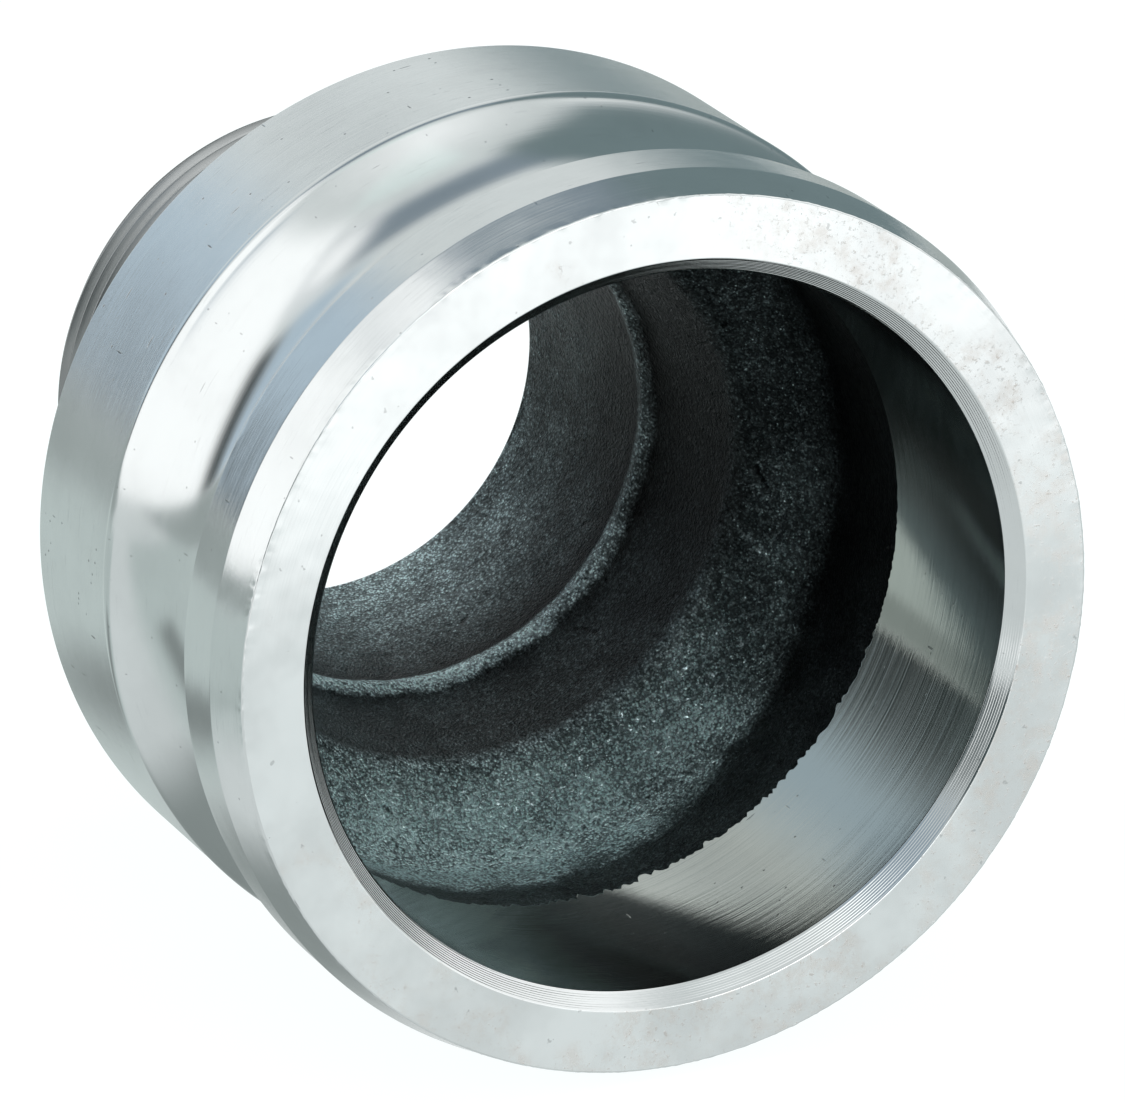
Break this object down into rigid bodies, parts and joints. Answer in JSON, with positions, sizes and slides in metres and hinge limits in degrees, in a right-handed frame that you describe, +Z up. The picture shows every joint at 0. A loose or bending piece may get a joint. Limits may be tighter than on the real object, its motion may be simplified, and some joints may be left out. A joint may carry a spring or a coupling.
{
  "type": "cam and groove male adapter",
  "caption": "One-piece cam-and-groove male adapter that reduces to a male pipe thread: turned tip, cam groove and collar outside, rough cast bore inside.",
  "frame": {"origin": "on the adapter's axis, midway between the front sealing face and the threaded end face", "axes": "+Y along the axis from the front sealing face to the threaded end; +Z up with the adapter lying on its side; +X to the right seen from the front"},
  "size_m": [0.0914, 0.09, 0.0914],
  "materials": {
    "cast_steel": "turned satin outside, on the face and in the bore's mouth, with faint rust stains; dark grainy as-cast skin inside"
  },
  "bodies": {
    "root": {"adapter_body": "cast_steel"}
  },
  "joints": []
}
